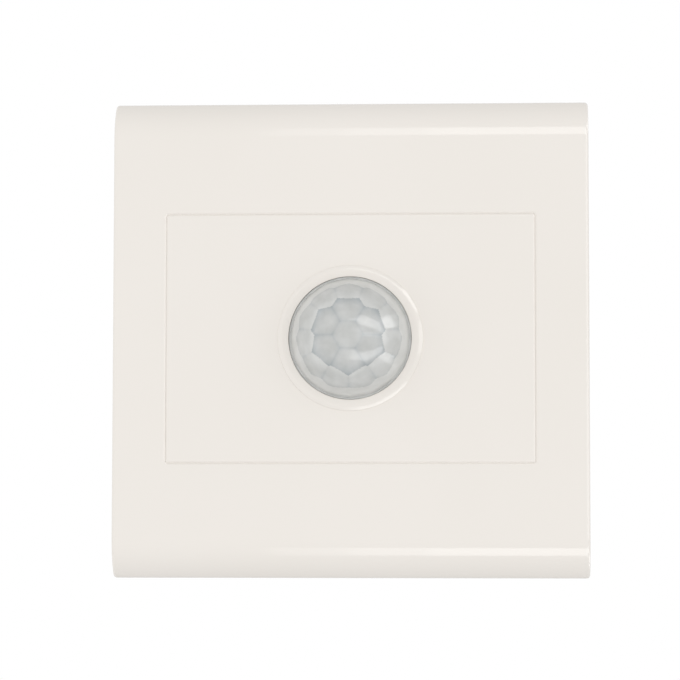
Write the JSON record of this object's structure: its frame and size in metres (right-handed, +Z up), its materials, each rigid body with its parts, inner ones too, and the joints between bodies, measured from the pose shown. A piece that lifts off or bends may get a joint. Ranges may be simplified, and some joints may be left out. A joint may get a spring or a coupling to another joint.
{
  "type": "motion sensor light switch",
  "caption": "Square wall switch with a faceted domed motion lens in a centre panel, a pull-off front plate, and clamp terminals and adjusters on its rear housing.",
  "frame": {"origin": "on the wall plane, midway between the two box screws, at the plate's middle", "axes": "-Y out of the wall towards the room, +Z up, +X to the right as seen from the room"},
  "size_m": [0.086, 0.0373, 0.086],
  "materials": {
    "white_plastic": "smooth glossy moulding",
    "lens_plastic": "milky polyethylene",
    "base_plastic": "fine matte moulding",
    "knob_plastic": "matte moulding",
    "grey_plastic": "matte moulding",
    "black_plastic": "matte moulding",
    "board_green": "solder mask",
    "relay_blue": "moulded case",
    "capacitor_yellow": "moulded case",
    "fuse_brown": "moulded case",
    "sensor_film": "resin-coated film",
    "steel": "bright zinc plating",
    "brass": "bare stamped brass"
  },
  "bodies": {
    "base": {"centre_panel": "white_plastic", "fresnel_lens": "lens_plastic", "lens_retainer": "grey_plastic", "mounting_base": "base_plastic", "rear_housing": "base_plastic", "housing_screws": "steel", "circuit_board": "board_green", "board_screws": "steel", "pir_can": "steel", "pir_window": "black_plastic", "pir_leads": "steel", "sensor_spacer": "grey_plastic", "light_sensor": "sensor_film", "light_sensor_leads": "steel", "relay": "relay_blue", "film_capacitor": "capacitor_yellow", "electrolytic_capacitor": "black_plastic", "fuse": "fuse_brown", "surge_absorber": "relay_blue", "rectifier": "black_plastic", "resistors": "relay_blue", "control_chip": "black_plastic", "time_pot": "relay_blue", "lux_pot": "relay_blue", "terminal_block": "grey_plastic", "terminal_bars": "brass"},
    "frame": {"front_frame": "white_plastic"},
    "time_knob": {"time_knob": "knob_plastic"},
    "lux_knob": {"lux_knob": "knob_plastic"},
    "screw_1": {"terminal_screw_1": "steel"},
    "cage_1": {"clamp_cage_1": "steel"},
    "screw_2": {"terminal_screw_2": "steel"},
    "cage_2": {"clamp_cage_2": "steel"},
    "screw_3": {"terminal_screw_3": "steel"},
    "cage_3": {"clamp_cage_3": "steel"}
  },
  "joints": [
    {"name": "frame_pull", "type": "slide", "parent": "base", "child": "frame", "axis": [0, -1, 0], "range_m": [0, 0.025]},
    {"name": "time_turn", "type": "hinge", "parent": "base", "child": "time_knob", "pos_m": [-0.0205, 0.01, -0.005], "axis": [0, -1, 0], "range_deg": [-135, 135]},
    {"name": "lux_turn", "type": "hinge", "parent": "base", "child": "lux_knob", "pos_m": [0.0205, 0.01, -0.005], "axis": [0, -1, 0], "range_deg": [-135, 135]},
    {"name": "screw_1_turn", "type": "hinge", "parent": "base", "child": "screw_1", "pos_m": [-0.0095, 0.015, -0.0164], "axis": [0, -1, 0], "range_deg": [0, 2160]},
    {"name": "cage_1_rise", "type": "slide", "parent": "base", "child": "cage_1", "axis": [0, 1, 0], "range_m": [0, 0.0036]},
    {"name": "screw_2_turn", "type": "hinge", "parent": "base", "child": "screw_2", "pos_m": [0, 0.015, -0.0164], "axis": [0, -1, 0], "range_deg": [0, 2160]},
    {"name": "cage_2_rise", "type": "slide", "parent": "base", "child": "cage_2", "axis": [0, 1, 0], "range_m": [0, 0.0036]},
    {"name": "screw_3_turn", "type": "hinge", "parent": "base", "child": "screw_3", "pos_m": [0.0095, 0.015, -0.0164], "axis": [0, -1, 0], "range_deg": [0, 2160]},
    {"name": "cage_3_rise", "type": "slide", "parent": "base", "child": "cage_3", "axis": [0, 1, 0], "range_m": [0, 0.0036]}
  ],
  "couplings": [
    {"joint": "screw_1_turn", "follows": "cage_1_rise", "rad_per_m": 10472},
    {"joint": "screw_2_turn", "follows": "cage_2_rise", "rad_per_m": 10472},
    {"joint": "screw_3_turn", "follows": "cage_3_rise", "rad_per_m": 10472}
  ]
}
